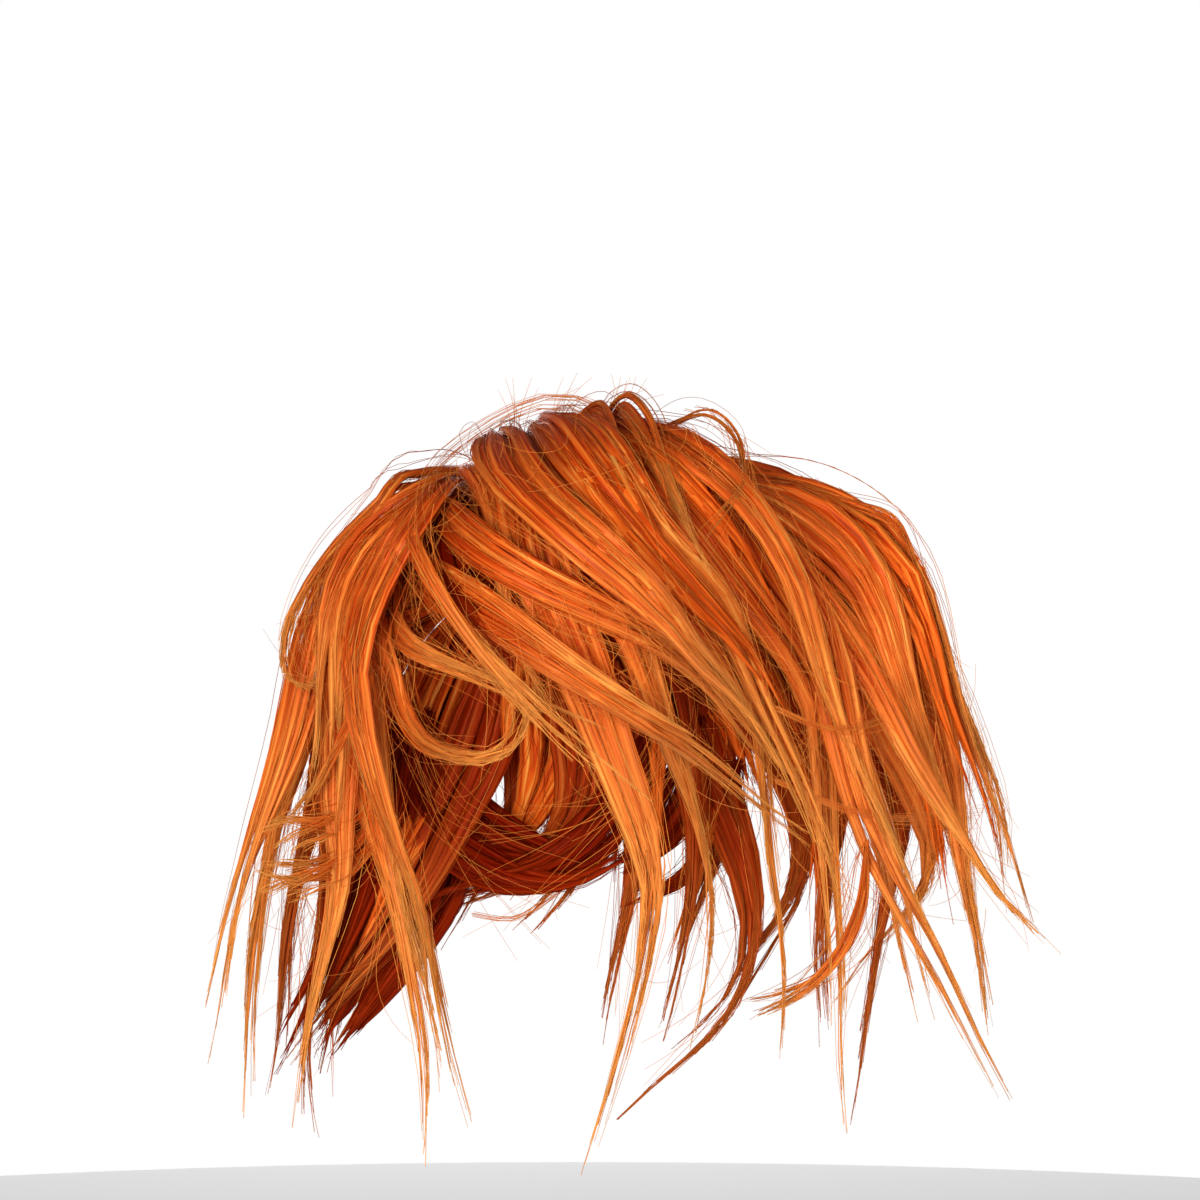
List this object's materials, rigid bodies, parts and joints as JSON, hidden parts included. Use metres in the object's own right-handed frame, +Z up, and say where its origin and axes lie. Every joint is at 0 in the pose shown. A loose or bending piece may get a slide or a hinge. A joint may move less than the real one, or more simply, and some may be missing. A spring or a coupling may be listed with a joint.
{
  "type": "messy bun hairpiece",
  "caption": "Elastic hair band with tousled locks of orange false hair sewn on all round it, shown draped as it is worn round a bun at the back of the head.",
  "frame": {"origin": "centre of the elastic band's ring, where it grips the neck of a bun", "axes": "+Y along the band's axis towards the head, -Y out of the back of the bun, +X to the right as seen from behind, +Z up"},
  "size_m": [0.2804, 0.1262, 0.2251],
  "materials": {
    "hair": "satin",
    "shaded_hair": "satin",
    "elastic": "matt"
  },
  "bodies": {
    "root": {"elastic_band": "elastic", "crown_lock_1": "hair", "crown_lock_2": "hair", "crown_lock_3": "hair", "crown_lock_4": "hair", "crown_lock_5": "hair", "crown_lock_6": "hair", "cross_lock_1": "hair", "cross_lock_2": "hair", "cross_lock_3": "hair", "cross_lock_4": "hair", "left_lock_1": "hair", "left_lock_2": "hair", "left_lock_3": "shaded_hair", "left_lock_4": "hair", "left_lock_5": "hair", "left_lock_6": "hair", "left_lock_7": "hair", "left_lock_8": "shaded_hair", "right_lock_1": "hair", "right_lock_2": "hair", "right_lock_3": "hair", "right_lock_4": "hair", "right_lock_5": "hair", "right_lock_6": "shaded_hair", "right_lock_7": "hair", "right_lock_8": "hair", "fall_lock_1": "hair", "fall_lock_2": "hair", "fall_lock_3": "shaded_hair", "fall_lock_4": "shaded_hair", "fall_lock_5": "shaded_hair", "fall_lock_6": "hair", "nape_lock_1": "shaded_hair", "nape_lock_2": "shaded_hair", "nape_lock_3": "shaded_hair", "nape_lock_4": "shaded_hair", "nape_lock_5": "shaded_hair", "nape_lock_6": "shaded_hair", "nape_lock_7": "shaded_hair", "nape_lock_8": "shaded_hair", "front_curl": "hair", "side_curl": "hair", "top_wisp": "hair"}
  },
  "joints": []
}
